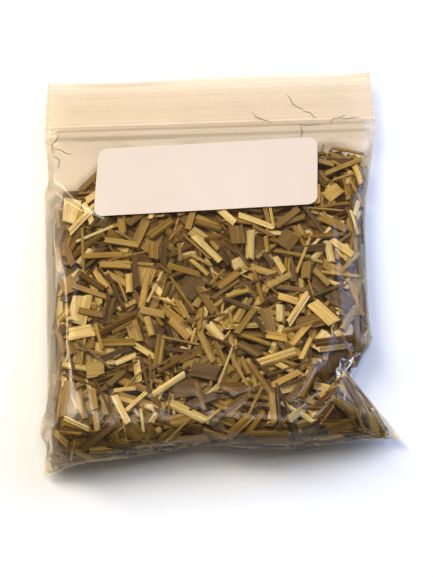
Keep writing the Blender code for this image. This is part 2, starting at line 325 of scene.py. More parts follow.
def extruded_relief(v, u):
    """How far the film stands out over the zip and at the ribs of the lip."""
    over_zip = ramp(v, -0.0031, -0.0017) * (1 - ramp(v, 0.0017, 0.0042))
    at_end = 1 - 0.75 * ramp(np.abs(u), film_width / 2 - 0.0035, film_width / 2 - 0.0008)
    relief = zip_lift * over_zip * at_end
    for rib in grip_ribs:
        relief = relief + rib_height * hump(v, rib, rib_reach)
    for edge in zip_edges:
        relief = relief + zip_edge_height * hump(v, edge, zip_edge_reach) * at_end
    return relief


def with_lip(pouch, sign):
    """Adds the lip's rows above a pouch sheet whose rows run from the zip to the fold."""
    u = column_u[None, :]
    lip = np.zeros((len(lip_v), len(column_u), 3))
    rise = (-lip_v / lip_length)[:, None]
    lip[:, :, 0] = u * (1 - lip_taper * rise**2)
    lip[:, :, 1] = zip_y - lip_v[:, None]
    wave = lip_wave * np.sin(u * 75 + 0.6) * rise**2 - lip_sag * rise**2
    curl = lip_curl * ramp(u, 0.040, 0.0508) * ramp(rise, 0.35, 1.0)
    lip[:, :, 2] = pouch[0, :, 2] + wave + curl + sign * lip_spread * rise**3
    whole = np.concatenate([lip, pouch])
    v = row_v[:, None]
    gap = lip_gap * (1 - ramp(v, 0.002, 0.008))
    whole[:, :, 2] += sign * (gap + extruded_relief(v, u))
    return whole


front_sheet = with_lip(film[: fold_row + 1], 1.0)
back_sheet = with_lip(film[fold_row:][::-1], -1.0)
lowest_film = 0.0001
back_sheet[:, :, 2] = np.maximum(back_sheet[:, :, 2], lowest_film)


def outward_normals(sheet, sign):
    """Unit normals of a sheet's grid, pointing out of the bag."""
    normals = np.cross(np.gradient(sheet, row_v, axis=0), np.gradient(sheet, column_u, axis=1))
    return sign * normals / (np.linalg.norm(normals, axis=-1, keepdims=True) + 1e-12)


front_normals = outward_normals(front_sheet, 1.0)
back_normals = outward_normals(back_sheet, -1.0)


def at(grid, u, v):
    """Reads a grid of values at places on the film, u across and v below the zip."""
    row = np.clip(np.interp(v, row_v, np.arange(len(row_v))), 0, len(row_v) - 1.001)
    column = np.clip((u - column_u[0]) / (column_u[1] - column_u[0]), 0, len(column_u) - 1.001)
    r, c = row.astype(int), column.astype(int)
    dr, dc = (row - r)[..., None], (column - c)[..., None]
    values = grid if grid.ndim == 3 else grid[..., None]
    found = (values[r, c] * (1 - dr) + values[r + 1, c] * dr) * (1 - dc)
    found += (values[r, c + 1] * (1 - dr) + values[r + 1, c + 1] * dr) * dc
    return found if grid.ndim == 3 else found[..., 0]


# The cut pieces: lengths of leaf sheath, creased blade, split stem and thin splinters
# Dried lemongrass stalks chopped across and sieved. They lie flat against the film,
# each on the ones before it, so the heap is laid inwards from both films.

map_step = 0.0004
map_u = np.arange(-film_width / 2, film_width / 2, map_step)
map_v = np.arange(0.0, pouch_flat, map_step)
grid_u, grid_v = np.meshgrid(map_u, map_v)
apart = np.linalg.norm(at(front_sheet, grid_u, grid_v) - at(back_sheet, grid_u, grid_v), axis=-1)
overlap = 0.0007  # by which each half of the heap may reach past the middle
other_film_gap = 0.0003
room = np.minimum(apart / 2 + overlap, apart - other_film_gap)
heap_top = 0.0082  # below the zip, and further below it at the left
empty_left = 0.0165
heap_to_right_weld = 0.0014
heap_to_left_weld = 0.0034
heap_to_fold = 0.0006
fill_line = heap_top + empty_left * ramp(-grid_u, 0.028, 0.046) + 0.0015 * np.sin(grid_u * 300)
behind_film = (grid_v > fill_line) & (grid_u < film_width / 2 - heap_to_right_weld)
left_edge = -film_width / 2 + heap_to_left_weld + 0.0008 * np.sin(grid_v * 260)
behind_film &= grid_u > left_edge
in_heap = behind_film & (grid_v < pouch_flat - heap_to_fold)

# name, share, length, width, thickness ranges in millimetres, roll, first shape, shapes
piece_sorts = (
    ("plate", 0.10, (5.0, 9.5), (3.2, 6.0), (0.7, 1.1), 0.05, 0, 3),
    ("blade", 0.32, (5.5, 12.5), (1.5, 3.0), (0.7, 1.3), 0.25, 3, 4),
    ("strip", 0.31, (5.0, 12.0), (1.0, 2.2), (0.4, 0.8), 0.35, 7, 3),
    ("stem", 0.07, (5.0, 11.0), (1.8, 2.8), (0.9, 1.4), 0.4, 10, 2),
    ("splinter", 0.22, (5.5, 15.0), (0.45, 0.9), (0.35, 0.7), 0.6, 12, 3),
)
sort_shares = np.array([sort[1] for sort in piece_sorts])
tries = 22  # places tried for each piece
steepest = 0.28  # rise over run, against the film
small_share = 0.8  # of the fines near the fold, which are smaller still
smaller_by = 0.45
firm_share = 0.46  # of a piece's length and width, to each side, that the next one rests on


def footprint(u, v, angle, length, width):
    """The map's cells around a piece, and how far along it and across it they lie."""
    reach = int(0.5 * (length + width) / map_step) + 1
    column, row = int((u - map_u[0]) / map_step), int((v - map_v[0]) / map_step)
    rows = slice(max(0, row - reach), row + reach + 1)
    columns = slice(max(0, column - reach), column + reach + 1)
    off_u, off_v = grid_u[rows, columns] - u, grid_v[rows, columns] - v
    along_piece = off_u * math.cos(angle) + off_v * math.sin(angle)
    across_piece = -off_u * math.sin(angle) + off_v * math.cos(angle)
    return (rows, columns), along_piece, across_piece


def lay_pieces(draw, count, depth, highest_v=0.0, shrink=1.0):
    """Lays pieces one by one where the heap is shallowest; depth is changed in place."""
    laid = []
    along_samples = np.linspace(-0.5, 0.5, 7)[None, :, None]
    across_samples = np.array([-0.5, 0.0, 0.5])[None, None, :]
    for _ in range(count):
        sort = piece_sorts[draw.choice(len(piece_sorts), p=sort_shares / sort_shares.sum())]
        length, width, thickness = (draw.uniform(*sort[k]) / 1000 for k in (2, 3, 4))
        u = draw.uniform(map_u[0], map_u[-1], tries)
        v = draw.uniform(highest_v, map_v[-1], tries)
        angle = draw.uniform(0, np.pi, tries)
        small = 1 - smaller_by * ramp(v.mean(), 0.090, 0.108) * (draw.random() < small_share)
        small *= shrink
        length, width, thickness = length * small, width * small, thickness * math.sqrt(shrink)
        cos, sin = np.cos(angle)[:, None, None], np.sin(angle)[:, None, None]
        sample_u = u[:, None, None] + along_samples * length * cos - across_samples * width * sin
        sample_v = v[:, None, None] + along_samples * length * sin + across_samples * width * cos
        column = np.rint((sample_u - map_u[0]) / map_step).astype(int)
        row = np.rint((sample_v - map_v[0]) / map_step).astype(int)
        inside = (column >= 0) & (column < len(map_u)) & (row >= 0) & (row < len(map_v))
        column, row = column.clip(0, len(map_u) - 1), row.clip(0, len(map_v) - 1)
        inside &= in_heap[row, column]
        under = depth[row, column]
        near, far = under[:, :3].max((1, 2)), under[:, 4:].max((1, 2))
        lean = np.clip((far - near) / (0.6 * length), -steepest, steepest)
        rest = (under - lean[:, None, None] * along_samples * length).max((1, 2))
        deepest = rest + np.abs(lean) * length / 2 + thickness
        fits = inside.all((1, 2)) & (deepest < room[row, column].min((1, 2)))
        if not fits.any():
            continue
        best = int(np.argmin(np.where(fits, rest + 0.3 * np.abs(lean) * length, np.inf)))
        u, v, angle, lean, rest = u[best], v[best], angle[best], lean[best], rest[best]
        cells, lengthways, crossways = footprint(u, v, angle, length, width)
        covered = np.abs(lengthways) < firm_share * length
        covered &= np.abs(crossways) < firm_share * width
        window = depth[cells]
        underside = rest + lean * lengthways + thickness
        window[covered] = np.maximum(window[covered], underside[covered])
        shape = sort[6] + int(draw.integers(sort[7]))
        roll = draw.normal(0, sort[5])
        laid.append((u, v, angle, rest, lean, length, width, thickness, roll, shape, draw.random()))
    return np.array(laid)


film_clearance = 0.00035  # between the film and the first piece
sag_of_width = 14  # a wide, flat piece lies lower under the curved film, by its width squared
thickness_share = 0.75
within_film = 0.0001  # how far inside the film a moved piece comes to lie
farthest_move = 0.0020
longest_stretch = 1.05  # of a piece, against the straight line between its two ends' places
shortest_span = 0.7  # as a share of the piece's length, or it is left out


def grid_faces(rows, columns):
    """The corners of every cell of a grid of points, four to a row."""
    index = np.arange(rows * columns).reshape(rows, columns)
    cells = np.stack([index[:-1, :-1], index[1:, :-1], index[1:, 1:], index[:-1, 1:]], axis=-1)
    return cells.reshape(-1, 4)


def inside_by(corners, surface, normals):
    """How far within the film the outermost of each piece's corners lies."""
    cells_across = normals.shape[1] - 1
    worst = []
    for piece in corners:
        depths = []
        for corner in piece:
            place, _, cell, _ = surface.find_nearest(corner)
            outward = normals[cell // cells_across, cell % cells_across]
            depths.append(float(np.dot(np.array(place) - corner, outward)))
        worst.append(min(depths))
    return np.array(worst)


def place_pieces(laid, sheet, normals):
    """World places, turns and sizes of laid pieces, straight between two points under the film.

    Where the film is hollow a piece would cross it, so it moves in, or is left out.
    """
    cells = grid_faces(*sheet.shape[:2])
    surface = BVHTree.FromPolygons(sheet.reshape(-1, 3).tolist(), cells.tolist())
    u, v, angle, rest, lean, length, width, thickness, roll = laid[:, :9].T
    ends = []
    for end in (-0.5, 0.5):
        end_u = u + end * length * np.cos(angle)
        end_v = v + end * length * np.sin(angle)
        inset = film_clearance + sag_of_width * width**2 + rest + end * lean * length
        inset = inset + thickness_share * thickness
        ends.append(at(sheet, end_u, end_v) - at(normals, end_u, end_v) * inset[:, None])
    forward = ends[1] - ends[0]
    span = np.linalg.norm(forward, axis=1)
    forward /= span[:, None]
    up = at(normals, u, v)
    sideways = np.cross(up, forward)
    sideways /= np.linalg.norm(sideways, axis=1, keepdims=True)
    up = np.cross(forward, sideways)
    cos, sin = np.cos(roll)[:, None], np.sin(roll)[:, None]
    turned_side = sideways * cos + up * sin
    turned_up = up * cos - sideways * sin
    turns = np.stack([forward, turned_side, turned_up], axis=2)
    middle = (ends[0] + ends[1]) / 2
    sizes = np.stack([np.minimum(length, longest_stretch * span), width, thickness], axis=1)
    signs = np.array([(x, y, 1) for x in (-1, 0, 1) for y in (-1, 1)])
    corners = np.einsum("nij,ncj->nci", turns, signs * sizes[:, None] / 2) + middle[:, None]
    moved = (within_film - inside_by(corners, surface, normals)).clip(0, farthest_move)
    shift = at(normals, u, v) * moved[:, None]
    kept = inside_by(corners - shift[:, None], surface, normals) > -within_film
    kept &= span > shortest_span * length
    return kept, (middle - shift)[kept], turns[kept], sizes[kept]


def quaternions(turns):
    """Quaternions, w first, of rotation matrices whose columns are the turned axes."""
    return np.array([list(Matrix(turn.tolist()).to_quaternion()) for turn in turns])


left_gap = 0.0012  # the film stands off the heap beside the left weld
fines_v = 0.098  # the fines have sunk below here
fines_shrink = 0.6
draw = np.random.default_rng(11)
front_depth = np.where(grid_u < -0.040, left_gap * ramp(-grid_u, 0.040, 0.047), 0.0)
front_laid = lay_pieces(draw, 5200, front_depth)
front_fines = lay_pieces(draw, 900, front_depth, fines_v, fines_shrink)
front_laid = np.concatenate([front_laid, front_fines])
back_depth = np.zeros_like(front_depth)
back_laid = lay_pieces(draw, 2400, back_depth)
back_fines = lay_pieces(draw, 700, back_depth, fines_v, fines_shrink)
back_laid = np.concatenate([back_laid, back_fines])


def make_piece_shape(name, draw, top, body, stations=4, bow=0.0, slant=0.12, ragged=0.03):
    """One cut piece, a unit long, wide and thick; top gives its upper outline across."""
    columns = len(top)
    xs = np.linspace(-0.5, 0.5, stations)
    ys = np.linspace(-0.5, 0.5, columns)
    shape = bmesh.new()
    grain = shape.verts.layers.float_vector.new("grain")
    layers = []
    end_slants = draw.uniform(-slant, slant, 2)
    for drop in (0.0, body):
        layer = []
        for s, x in enumerate(xs):
            line = []
            lean = end_slants[0] * (s == 0) + end_slants[1] * (s == stations - 1)
            for c, y in enumerate(ys):
                rag = draw.uniform(-ragged, ragged) if s in (0, stations - 1) else 0.0
                z = top[c] - drop + bow * (1 - 4 * x * x) + draw.uniform(-0.04, 0.04)
                vert = shape.verts.new((x + lean * y + rag * (drop == 0), y, z))
                vert[grain] = (x, y, z)
                line.append(vert)
            layer.append(line)
        layers.append(layer)
    upper, lower = layers
    for s in range(stations - 1):
        for c in range(columns - 1):
            a, b = upper[s], upper[s + 1]
            shape.faces.new((a[c], b[c], b[c + 1], a[c + 1]))
            a, b = lower[s], lower[s + 1]
            shape.faces.new((a[c], a[c + 1], b[c + 1], b[c]))
        for c in (0, columns - 1):
            shape.faces.new((upper[s][c], lower[s][c], lower[s + 1][c], upper[s + 1][c]))
    for s in (0, stations - 1):
        for c in range(columns - 1):
            shape.faces.new((upper[s][c], upper[s][c + 1], lower[s][c + 1], lower[s][c]))
    bmesh.ops.recalc_face_normals(shape, faces=shape.faces)
    mesh = bpy.data.meshes.new(name)
    shape.to_mesh(mesh)
    shape.free()
    mesh.shade_smooth()
    mesh.set_sharp_from_angle(angle=math.radians(38))
    made = bpy.data.objects.new(name, mesh)
    piece_shapes.objects.link(made)


piece_shapes = bpy.data.collections.new("cut piece shapes")
draw = np.random.default_rng(23)
plate_tops = ([0.2, 0.42, 0.5, 0.40, 0.15], [0.5, 0.3, 0.22, 0.3, 0.45],
              [0.3, 0.5, 0.3, 0.5, 0.25])
blade_tops = ([-0.1, 0.2, 0.5, 0.15, -0.2], [0.5, 0.1, -0.15, 0.2, 0.5],
              [0.0, 0.5, 0.05, 0.5, 0.0], [0.1, 0.45, 0.5, 0.1, 0.45])
strip_tops = ([0.42, 0.5, 0.36, 0.5], [0.5, 0.46, 0.5, 0.28], [0.35, 0.5, 0.45, 0.5])
stem_tops = ([-0.35, 0.3, 0.5, 0.3, -0.35], [-0.2, 0.42, 0.46, 0.25, -0.3])
splinter_tops = ([0.35, 0.5, 0.3], [0.3, 0.5, 0.4], [0.45, 0.4, 0.5])
for number, top in enumerate(plate_tops):
    make_piece_shape(f"shape_00_plate_{number}", draw, top, 0.40, bow=0.10)
for number, top in enumerate(blade_tops):
    make_piece_shape(f"shape_01_blade_{number}", draw, top, 0.34, stations=3, bow=0.10)
for number, top in enumerate(strip_tops):
    make_piece_shape(f"shape_02_strip_{number}", draw, top, 0.85, stations=3, bow=0.12)
for number, top in enumerate(stem_tops):
    make_piece_shape(f"shape_03_stem_{number}", draw, top, 0.34, bow=0.05)
for number, top in enumerate(splinter_tops):
    make_piece_shape(f"shape_04_splinter_{number}", draw, top, 0.80, stations=3, bow=0.35,
                     slant=0.03)


def add_node(nodes, kind, inputs=None, **settings):
    """A node with its settings; each input gets a value, or a link from another's output."""
    node = nodes.new(kind)
    for setting, value in settings.items():
        setattr(node, setting, value)
    for socket, value in (inputs or {}).items():
        if isinstance(value, bpy.types.NodeSocket):
            node.id_data.links.new(value, node.inputs[socket])
        else:
            node.inputs[socket].default_value = value
    return node


def colour_band(nodes, share, stops):
    """A colour ramp read at a share, through stops of a place and a colour."""
    band = add_node(nodes, "ShaderNodeValToRGB", {"Fac": share})
    points = band.color_ramp.elements
    while len(points) < len(stops):
        points.new(0.5)
    for point, (place, colour) in zip(points, stops):
        point.position = place
        point.color = (*colour, 1.0)
    return band.outputs["Color"]


# from the darkest bits of old leaf to fresh, pale pith
straw_tones = (
    (0.00, (0.092, 0.041, 0.004)),
    (0.18, (0.175, 0.088, 0.010)),
    (0.38, (0.310, 0.172, 0.023)),
    (0.60, (0.465, 0.282, 0.050)),
    (0.80, (0.660, 0.430, 0.105)),
    (0.93, (0.870, 0.630, 0.215)),
    (1.00, (0.930, 0.740, 0.360)),
)
# most pieces keep their tone's hue, and some are greyer and cooler
straw_hues = ((0.35, (1.0, 1.0, 1.0)), (0.80, (0.88, 0.955, 1.03)))


def cut_grass_material():
    """Dry straw: a tone for each piece, fine veins along it, and paler ribs."""
    material, nodes, links, shader = new_material("dried lemongrass")
    grain = add_node(nodes, "ShaderNodeAttribute", attribute_name="grain").outputs["Vector"]
    size = add_node(nodes, "ShaderNodeAttribute", attribute_name="piece_size").outputs["Vector"]
    tone = add_node(nodes, "ShaderNodeAttribute", attribute_name="tone").outputs["Fac"]
    local = add_node(nodes, "ShaderNodeVectorMath", {0: grain, 1: size}, operation="MULTIPLY")
    shift = add_node(nodes, "ShaderNodeVectorMath", {0: (170.0, 90.0, 60.0), "Scale": tone},
                     operation="SCALE")
    stretch = add_node(nodes, "ShaderNodeVectorMath",
                       {0: local.outputs[0], 1: (140.0, 3600.0, 900.0), 2: shift.outputs[0]},
                       operation="MULTIPLY_ADD").outputs[0]
    veins = add_node(nodes, "ShaderNodeTexNoise",
                     {"Vector": stretch, "Scale": 1.0, "Detail": 3.0}).outputs["Fac"]
    blotches = add_node(nodes, "ShaderNodeTexNoise",
                        {"Vector": stretch, "Scale": 0.22, "Detail": 2.0}).outputs["Fac"]
    lower = add_node(nodes, "ShaderNodeMath", {0: tone, 1: 0.17}, operation="SUBTRACT")
    vary = add_node(nodes, "ShaderNodeMath", {0: blotches, 1: 0.34, 2: lower.outputs[0]},
                    operation="MULTIPLY_ADD")
    colour = colour_band(nodes, vary.outputs[0], straw_tones)
    # a second draw for each piece, from the further digits of its tone
    hue_draw = add_node(nodes, "ShaderNodeMath", {0: tone, 1: 7.31}, operation="MULTIPLY")
    hue_share = add_node(nodes, "ShaderNodeMath", {0: hue_draw.outputs[0]}, operation="FRACT")
    hue = colour_band(nodes, hue_share.outputs[0], straw_hues)
    hued = add_node(nodes, "ShaderNodeVectorMath", {0: colour, 1: hue}, operation="MULTIPLY")
    vein_shade = add_node(nodes, "ShaderNodeMapRange", {
        "Value": veins, "From Min": 0.30, "From Max": 0.70, "To Min": 0.62, "To Max": 1.18,
    })
    shaded = add_node(nodes, "ShaderNodeVectorMath",
                      {0: hued.outputs[0], "Scale": vein_shade.outputs["Result"]},
                      operation="SCALE")
    bump = add_node(nodes, "ShaderNodeBump",
                    {"Height": veins, "Strength": 0.16, "Distance": 0.00012})
    links.new(shaded.outputs[0], shader.inputs["Base Color"])
    links.new(bump.outputs["Normal"], shader.inputs["Normal"])
    shader.inputs["Roughness"].default_value = 0.52
    shader.inputs["Specular IOR Level"].default_value = 0.45
    return material


grass = cut_grass_material()


def piece_tree():
    """Geometry nodes: one cut piece on every point, from the collection of shapes."""
    tree = bpy.data.node_groups.new("lay cut pieces", "GeometryNodeTree")
    tree.interface.new_socket("Geometry", in_out="INPUT", socket_type="NodeSocketGeometry")
    tree.interface.new_socket("Shapes", in_out="INPUT", socket_type="NodeSocketCollection")
    tree.interface.new_socket("Material", in_out="INPUT", socket_type="NodeSocketMaterial")
    tree.interface.new_socket("Geometry", in_out="OUTPUT", socket_type="NodeSocketGeometry")
    nodes = tree.nodes
    given = nodes.new("NodeGroupInput").outputs
    shapes = add_node(nodes, "GeometryNodeCollectionInfo", {
        "Collection": given["Shapes"], "Separate Children": True, "Reset Children": True,
    })
    place = add_node(nodes, "GeometryNodeInstanceOnPoints", {
        "Points": given["Geometry"], "Instance": shapes.outputs["Instances"],
        "Pick Instance": True,
    })
    readings = (("shape", "INT", "Instance Index"), ("turn", "QUATERNION", "Rotation"),
                ("piece_size", "FLOAT_VECTOR", "Scale"))
    for attribute, data_type, socket in readings:
        reading = add_node(nodes, "GeometryNodeInputNamedAttribute", {"Name": attribute},
                           data_type=data_type)
        tree.links.new(reading.outputs["Attribute"], place.inputs[socket])
    realise = add_node(nodes, "GeometryNodeRealizeInstances",
                       {"Geometry": place.outputs["Instances"]})
    finish = add_node(nodes, "GeometryNodeSetMaterial", {
        "Geometry": realise.outputs["Geometry"], "Material": given["Material"],
    })
    add_node(nodes, "NodeGroupOutput", {"Geometry": finish.outputs["Geometry"]})
    return tree


def set_inputs(modifier, tree, values):
    """Sets a node modifier's inputs, given by name, through the sockets' identifiers."""
    for item in tree.interface.items_tree:
        if item.in_out == "INPUT" and item.name in values:
            modifier[item.identifier] = values[item.name]


def frozen(made):
    """A plain mesh object with the same name, from what the modifiers make."""
    bpy.context.view_layer.update()
    graph = bpy.context.evaluated_depsgraph_get()
    mesh = bpy.data.meshes.new_from_object(made.evaluated_get(graph), depsgraph=graph)
    name = made.name
    bpy.data.objects.remove(made)
    mesh.name = name
    plain = bpy.data.objects.new(name, mesh)
    bpy.context.scene.collection.objects.link(plain)
    return plain


def set_attributes(mesh, values):
    """Puts named values on a mesh's points, for the nodes and the material to read."""
    for attribute, data_type, field, data in values:
        mesh.attributes.new(attribute, data_type, "POINT").data.foreach_set(field, data.ravel())


def discard(shapes):
    """Removes the shapes once they are laid."""
    for shape in list(shapes.objects):
        bpy.data.objects.remove(shape)
    bpy.data.collections.remove(shapes)


lay_tree = piece_tree()
lowest_piece = 0.0003


def instanced(name, points, turns, sizes, shape, tone, shapes, material):
    """One mesh of the shapes put on points, each turned, sized and toned."""
    made = new_mesh_object(name, points.tolist(), [])
    set_attributes(made.data, (
        ("shape", "INT", "value", shape.astype(np.int32)),
        ("turn", "QUATERNION", "value", quaternions(turns).astype(np.float32)),
        ("piece_size", "FLOAT_VECTOR", "vector", sizes.astype(np.float32)),
        ("tone", "FLOAT", "value", tone.astype(np.float32)),
    ))
    lay = made.modifiers.new("lay", "NODES")
    lay.node_group = lay_tree
    set_inputs(lay, lay_tree, {"Shapes": shapes, "Material": material})
    return frozen(made)


def build_pieces(name, laid, sheet, normals):
    """The pieces laid against one film, as one mesh."""
    kept, points, turns, sizes = place_pieces(laid, sheet, normals)
    shape, tone = laid[kept, 9], laid[kept, 10]
    made = instanced(name, points, turns, sizes, shape, tone, piece_shapes, grass)
    for vert in made.data.vertices:
        vert.co.z = max(vert.co.z, lowest_piece)
    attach(made, "root")
    return made


front_pieces = build_pieces("front_cut_pieces", front_laid, front_sheet, front_normals)
back_pieces = build_pieces("back_cut_pieces", back_laid, back_sheet, back_normals)


core_top = 0.020  # below the zip
core_inset = 0.006  # from the fold and from the right weld
core_left_inset = 0.007
core_rim = 0.006  # it thins out over this
core_share = 0.22  # of the way between the films, to each side of the middle
# a dark straw tone, partly the fines' own colour and partly painted shade for the shadowed inside
# of the heap
core_tone_with_painted_shade = 0.16


def build_core():
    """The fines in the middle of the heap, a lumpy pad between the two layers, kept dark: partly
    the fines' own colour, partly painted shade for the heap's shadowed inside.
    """
    core_v = np.linspace(core_top, pouch_flat - core_inset, 90)
    core_u = np.linspace(-film_width / 2 + core_left_inset, film_width / 2 - core_inset, 80)
    u, v = np.meshgrid(core_u, core_v)
    upper, lower = at(front_sheet, u, v), at(back_sheet, u, v)
    lumps = 0.05 * np.sin(u * 1500 + 2 * np.sin(v * 900)) * np.sin(v * 1300 + np.sin(u * 800))
    near_rim = np.minimum((v - core_v[0]) / core_rim, (core_v[-1] - v) / core_rim)
    near_rim = np.minimum(near_rim, (core_u[-1] - np.abs(u)) / core_rim).clip(0, 1)
    half_share = (core_share + lumps) * np.sqrt(near_rim)
    points = [upper + (lower - upper) * (0.5 - half_share)[..., None],
              upper + (lower - upper) * (0.5 + half_share)[..., None]]
    quads = grid_faces(*u.shape)
    faces = quads.tolist() + (quads[:, ::-1] + u.size).tolist()
    made = new_mesh_object("packed_fines", np.concatenate(points).reshape(-1, 3).tolist(), faces)
    closing = bmesh.new()
    closing.from_mesh(made.data)
    bmesh.ops.remove_doubles(closing, verts=closing.verts, dist=0.00001)
    closing.to_mesh(made.data)
    closing.free()
    count = len(made.data.vertices)
    places = np.empty(count * 3, np.float32)
    made.data.vertices.foreach_get("co", places)
    set_attributes(made.data, (
        ("tone", "FLOAT", "value", np.full(count, core_tone_with_painted_shade, np.float32)),
        ("grain", "FLOAT_VECTOR", "vector", places),
        ("piece_size", "FLOAT_VECTOR", "vector", np.ones(count * 3, np.float32)),
    ))
    made.data.materials.append(grass)
    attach(made, "root")


build_core()
sorts_in_cad = ("sheath_plate", "split_stem", "leaf_fold", "stalk_sliver")
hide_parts(*[n for n in frame["nodes"] if n.startswith(sorts_in_cad)])
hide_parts("cut_lemongrass_mass")
discard(piece_shapes)


# The film's two faces
# Clear polyethylene that carries a faint haze where it stands off the filling. It sinks
# a little between the pieces that press on it.


def film_material():
    """Thin clear film: what is behind it, its gloss, and a warm haze set by an attribute."""
    material, nodes, links, gloss = new_material("clear polyethylene film")
    gloss.inputs["Base Color"].default_value = (0.98, 0.98, 0.98, 1.0)
    gloss.inputs["Metallic"].default_value = 1.0
    gloss.inputs["Roughness"].default_value = 0.17
    clear = add_node(nodes, "ShaderNodeBsdfTransparent", {"Color": (0.985, 0.960, 0.900, 1.0)})
    facing = add_node(nodes, "ShaderNodeFresnel", {"IOR": 1.5})
    mirrored = add_node(nodes, "ShaderNodeMath", {0: facing.outputs[0], 1: 0.75},
                        operation="MULTIPLY", use_clamp=True)
    pane = add_node(nodes, "ShaderNodeMixShader",
                    {"Fac": mirrored.outputs[0], 1: clear.outputs[0], 2: gloss.outputs[0]})
    milk = add_node(nodes, "ShaderNodeBsdfPrincipled",
                    {"Base Color": (0.93, 0.77, 0.55, 1.0), "Roughness": 0.35})
    haze = add_node(nodes, "ShaderNodeAttribute", attribute_name="haze").outputs["Fac"]
    place = nodes.new("ShaderNodeTexCoord").outputs["Object"]
    drift = add_node(nodes, "ShaderNodeTexNoise", {"Vector": place, "Scale": 60.0, "Detail": 3.0})
    uneven = add_node(nodes, "ShaderNodeMapRange",
                      {"Value": drift.outputs["Fac"], "To Min": 0.75, "To Max": 1.25})
    amount = add_node(nodes, "ShaderNodeMath", {0: haze, 1: uneven.outputs["Result"]},
                      operation="MULTIPLY", use_clamp=True)
    whole = add_node(nodes, "ShaderNodeMixShader",
                     {"Fac": amount.outputs[0], 1: pane.outputs[0], 2: milk.outputs[0]})
    ripples = add_node(nodes, "ShaderNodeTexNoise",
                       {"Vector": place, "Scale": 140.0, "Detail": 2.0})
    bump = add_node(nodes, "ShaderNodeBump",
                    {"Height": ripples.outputs["Fac"], "Strength": 0.12, "Distance": 0.0004})
    links.new(bump.outputs["Normal"], gloss.inputs["Normal"])
    links.new(whole.outputs[0], nodes["Material Output"].inputs["Surface"])
    return material


clear_film = film_material()


unsupported = 0.0025  # depth taken where no piece lies behind the film


def first_depth(laid):
    """How far below the film the first piece lies, read back from the laid pieces."""
    found = np.full(grid_u.shape, unsupported)
    for u, v, angle, rest, lean, length, width in laid[:, :7]:
        cells, lengthways, crossways = footprint(u, v, angle, length, width)
        window = found[cells]
        covered = (np.abs(lengthways) < length / 2) & (np.abs(crossways) < width / 2)
        window[covered] = np.minimum(window[covered], (rest + lean * lengthways)[covered])
    return found


def softened(values, rounds):
    """Blurs a map by averaging each cell with its neighbours."""
    for _ in range(rounds):
        padded = np.pad(values, 1, mode="edge")
        values = (padded[:-2, 1:-1] + padded[2:, 1:-1] + padded[1:-1, :-2]
                  + padded[1:-1, 2:] + 2 * padded[1:-1, 1:-1]) / 6
    return values


# start and end on the flat film, height and half width of the creases in the front film
front_creases = (
    (0.0370, 0.030, 0.0385, 0.078, 0.0007, 0.0011),
    (0.0385, 0.078, 0.0490, 0.086, 0.0010, 0.0014),
    (0.0440, 0.020, 0.0430, 0.070, 0.0005, 0.0009),
    (0.0400, 0.088, 0.0490, 0.104, 0.0006, 0.0010),
    (-0.0405, 0.038, -0.0390, 0.094, 0.0008, 0.0022),
    (-0.0470, 0.010, -0.0440, 0.060, 0.0005, 0.0009),
    (-0.0455, 0.064, -0.0470, 0.100, 0.0005, 0.0009),
    (-0.0180, 0.096, 0.0080, 0.107, 0.0005, 0.0010),
    (-0.0400, 0.014, -0.0330, 0.004, 0.0004, 0.0012),
)


def creases(u, v, sign):
    """How far the film stands out at its creases and at the soft waves beside the welds."""
    beside = ramp(np.abs(u), 0.030, 0.045) * ramp(v, 0.008, 0.025)
    beside = beside * (1 - ramp(np.abs(u), film_width / 2 - 0.0035, film_width / 2 - 0.0010))
    beside = beside * np.where(u < 0, 0.5, 1.0)
    height = 0.00015 * beside * np.sin(u * 1500 + 3 * np.sin(v * 70 + sign))
    height = height + 0.00010 * beside * np.sin(v * 420 + 2 * np.sin(u * 300))
    if sign > 0:
        for u0, v0, u1, v1, peak, reach in front_creases:
            along = np.array([u1 - u0, v1 - v0])
            length = np.hypot(*along)
            share = ((u - u0) * along[0] + (v - v0) * along[1]) / length**2
            off = ((u - u0) * along[1] - (v - v0) * along[0]) / length
            fade = ramp(share, -0.05, 0.25) * (1 - ramp(share, 0.75, 1.05))
            height = height + peak * fade * hump(off, 0.0, reach)
    return height


clear_haze, empty_haze, weld_haze = 0.004, 0.50, 0.35
left_band_share = 0.62  # of the haze of empty film, beside the left weld
deepest_sink = 0.00025  # of the film between the pieces
full_gap = 0.0012


def film_haze(u, v, on_fill):
    """How milky the film is: most where it hangs empty, at the welds and along the zip."""
    empty = np.where(v < 0.002, 1.0, 1 - on_fill)
    left_band = 1 - ramp(film_width / 2 + u, 0.0035, 0.0110)
    empty = np.maximum(empty, left_band_share * left_band)
    wavy = 0.0016 + 0.0007 * np.sin(v * 520) + 0.0004 * np.sin(v * 1310 + 1)
    weld = 1 - ramp(film_width / 2 - np.abs(u), 0.3 * wavy, wavy)
    streaks = 0.022 * np.sin(v * 2600) + 0.030 * np.sin(v * 1100 + 1) + 0.010 * np.sin(v * 4100)
    streaks = streaks + 0.30 * hump(v, -0.0026, 0.0005)
    streaks = streaks - 0.26 * hump(v, -0.0004, 0.0011)
    at_weld = weld_haze * weld * ramp(v, 0.0, 0.004)
    return clear_haze + empty_haze * empty + at_weld + streaks * (v < 0.004)


